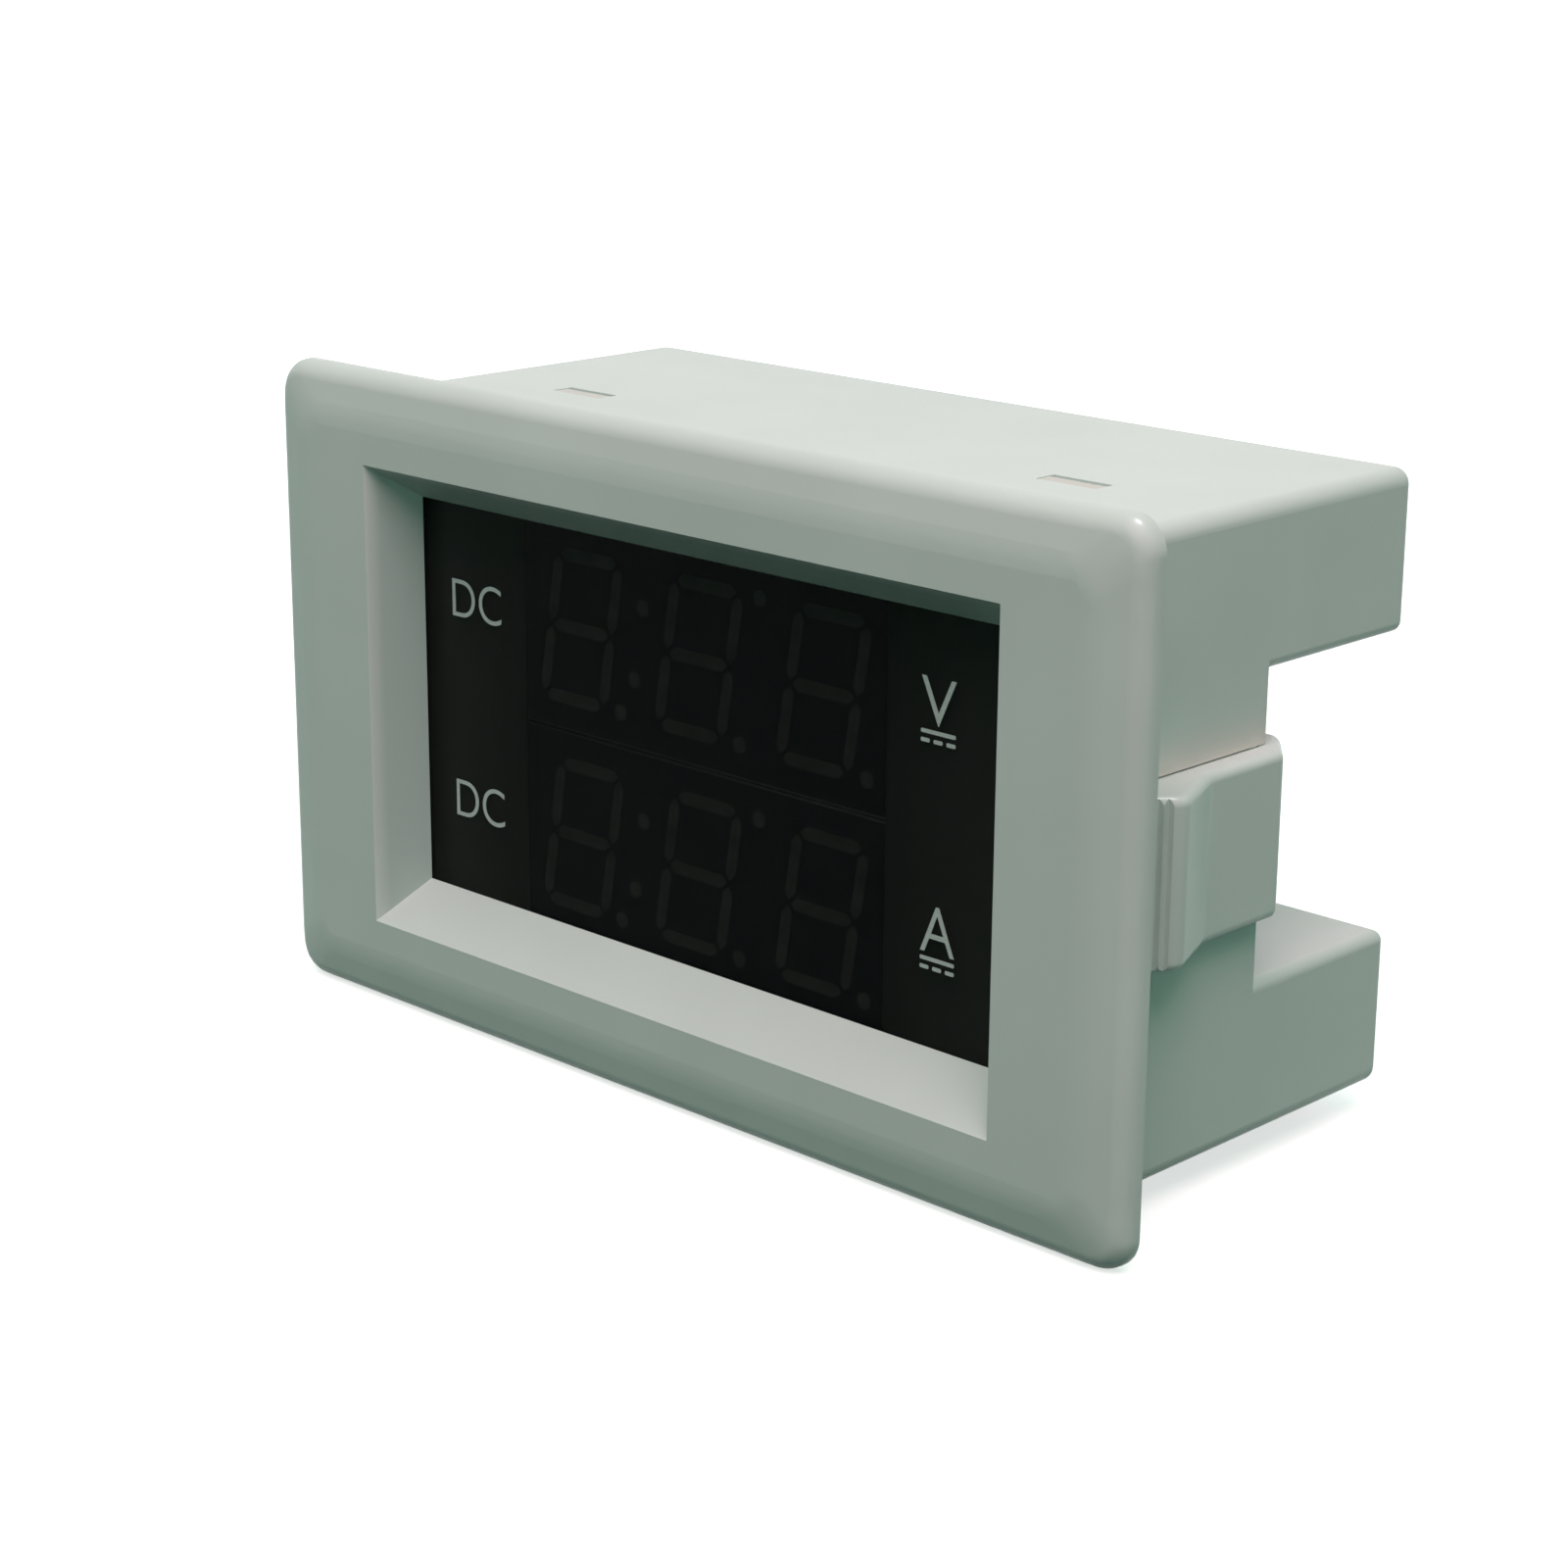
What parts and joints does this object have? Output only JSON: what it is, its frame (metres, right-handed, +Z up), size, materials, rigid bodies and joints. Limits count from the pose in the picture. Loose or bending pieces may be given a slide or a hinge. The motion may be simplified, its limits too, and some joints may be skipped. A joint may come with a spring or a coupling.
{
  "type": "digital panel meter",
  "caption": "Snap-in two-row digital panel meter with a rounded frame, smoked window, side clips and rear screw terminals.",
  "frame": {"origin": "under the middle of the bounding box, level with the lower edge of the flange", "axes": "+X to the right seen from the front, +Y out of the back through the panel, +Z up"},
  "size_m": [0.085, 0.0368, 0.05],
  "materials": {
    "white_abs": "satin moulded",
    "smoked_acrylic": "dark tinted, glossy",
    "printed_film": "matt black print",
    "display_resin": "matt black",
    "segment_resin": "milky, unlit",
    "circuit_board": "green solder resist",
    "plated_steel": "zinc plated",
    "tinned_lead": "tinned",
    "black_epoxy": "moulded",
    "black_phenolic": "moulded",
    "nylon": "natural",
    "can_sleeve": "shrunk sleeve",
    "ferrite": "sintered",
    "copper_wire": "enamelled",
    "nickelled_brass": "nickel plated",
    "crystal_can": "drawn can",
    "blue_lacquer": "lacquered"
  },
  "bodies": {
    "meter": {"front_bezel": "white_abs", "housing": "white_abs", "filter_window": "smoked_acrylic", "mask_film": "printed_film", "led_module_upper": "display_resin", "led_module_lower": "display_resin", "segments_upper": "segment_resin", "segments_lower": "segment_resin", "module_pins": "tinned_lead", "display_board": "circuit_board", "main_board": "circuit_board", "header_body": "black_epoxy", "header_pins": "tinned_lead", "board_spacers": "nylon", "board_screws": "plated_steel", "segment_drivers": "black_epoxy", "driver_legs": "tinned_lead", "chip_resistors": "black_epoxy", "microcontroller": "black_epoxy", "microcontroller_legs": "tinned_lead", "amplifier": "black_epoxy", "amplifier_legs": "tinned_lead", "capacitors": "can_sleeve", "inductor_core": "ferrite", "inductor_winding": "copper_wire", "rectifier_diode": "black_epoxy", "regulator_body": "black_epoxy", "regulator_tab": "tinned_lead", "crystal": "crystal_can", "divider_resistors": "blue_lacquer", "terminal_block": "black_phenolic", "terminal_contacts": "nickelled_brass"},
    "right_clip": {"right_clip": "white_abs"},
    "left_clip": {"left_clip": "white_abs"},
    "clamp_1": {"clamp_plate_1": "plated_steel"},
    "screw_1": {"terminal_screw_1": "plated_steel"},
    "clamp_2": {"clamp_plate_2": "plated_steel"},
    "screw_2": {"terminal_screw_2": "plated_steel"},
    "clamp_3": {"clamp_plate_3": "plated_steel"},
    "screw_3": {"terminal_screw_3": "plated_steel"},
    "clamp_4": {"clamp_plate_4": "plated_steel"},
    "screw_4": {"terminal_screw_4": "plated_steel"},
    "clamp_5": {"clamp_plate_5": "plated_steel"},
    "screw_5": {"terminal_screw_5": "plated_steel"},
    "clamp_6": {"clamp_plate_6": "plated_steel"},
    "screw_6": {"terminal_screw_6": "plated_steel"}
  },
  "joints": [
    {"name": "right_clip_press", "type": "hinge", "parent": "meter", "child": "right_clip", "pos_m": [0.0363, 0.00155, 0.025], "axis": [0, 0, 1], "range_deg": [-16, 0], "stiffness_Nm_per_rad": 0.1},
    {"name": "left_clip_press", "type": "hinge", "parent": "meter", "child": "left_clip", "pos_m": [-0.0363, 0.00155, 0.025], "axis": [0, 0, 1], "range_deg": [0, 16], "stiffness_Nm_per_rad": 0.1},
    {"name": "clamp_1_lift", "type": "slide", "parent": "meter", "child": "clamp_1", "axis": [0, 1, 0], "range_m": [0, 0.0015]},
    {"name": "screw_1_turn", "type": "hinge", "parent": "clamp_1", "child": "screw_1", "pos_m": [-0.023, 0.00605, 0.025], "axis": [0, 1, 0], "range_deg": [0, 1080]},
    {"name": "clamp_2_lift", "type": "slide", "parent": "meter", "child": "clamp_2", "axis": [0, 1, 0], "range_m": [0, 0.0015]},
    {"name": "screw_2_turn", "type": "hinge", "parent": "clamp_2", "child": "screw_2", "pos_m": [-0.0138, 0.00605, 0.025], "axis": [0, 1, 0], "range_deg": [0, 1080]},
    {"name": "clamp_3_lift", "type": "slide", "parent": "meter", "child": "clamp_3", "axis": [0, 1, 0], "range_m": [0, 0.0015]},
    {"name": "screw_3_turn", "type": "hinge", "parent": "clamp_3", "child": "screw_3", "pos_m": [-0.0046, 0.00605, 0.025], "axis": [0, 1, 0], "range_deg": [0, 1080]},
    {"name": "clamp_4_lift", "type": "slide", "parent": "meter", "child": "clamp_4", "axis": [0, 1, 0], "range_m": [0, 0.0015]},
    {"name": "screw_4_turn", "type": "hinge", "parent": "clamp_4", "child": "screw_4", "pos_m": [0.0046, 0.00605, 0.025], "axis": [0, 1, 0], "range_deg": [0, 1080]},
    {"name": "clamp_5_lift", "type": "slide", "parent": "meter", "child": "clamp_5", "axis": [0, 1, 0], "range_m": [0, 0.0015]},
    {"name": "screw_5_turn", "type": "hinge", "parent": "clamp_5", "child": "screw_5", "pos_m": [0.0138, 0.00605, 0.025], "axis": [0, 1, 0], "range_deg": [0, 1080]},
    {"name": "clamp_6_lift", "type": "slide", "parent": "meter", "child": "clamp_6", "axis": [0, 1, 0], "range_m": [0, 0.0015]},
    {"name": "screw_6_turn", "type": "hinge", "parent": "clamp_6", "child": "screw_6", "pos_m": [0.023, 0.00605, 0.025], "axis": [0, 1, 0], "range_deg": [0, 1080]}
  ],
  "couplings": [
    {"joint": "screw_1_turn", "follows": "clamp_1_lift", "rad_per_m": 12566},
    {"joint": "screw_2_turn", "follows": "clamp_2_lift", "rad_per_m": 12566},
    {"joint": "screw_3_turn", "follows": "clamp_3_lift", "rad_per_m": 12566},
    {"joint": "screw_4_turn", "follows": "clamp_4_lift", "rad_per_m": 12566},
    {"joint": "screw_5_turn", "follows": "clamp_5_lift", "rad_per_m": 12566},
    {"joint": "screw_6_turn", "follows": "clamp_6_lift", "rad_per_m": 12566}
  ]
}
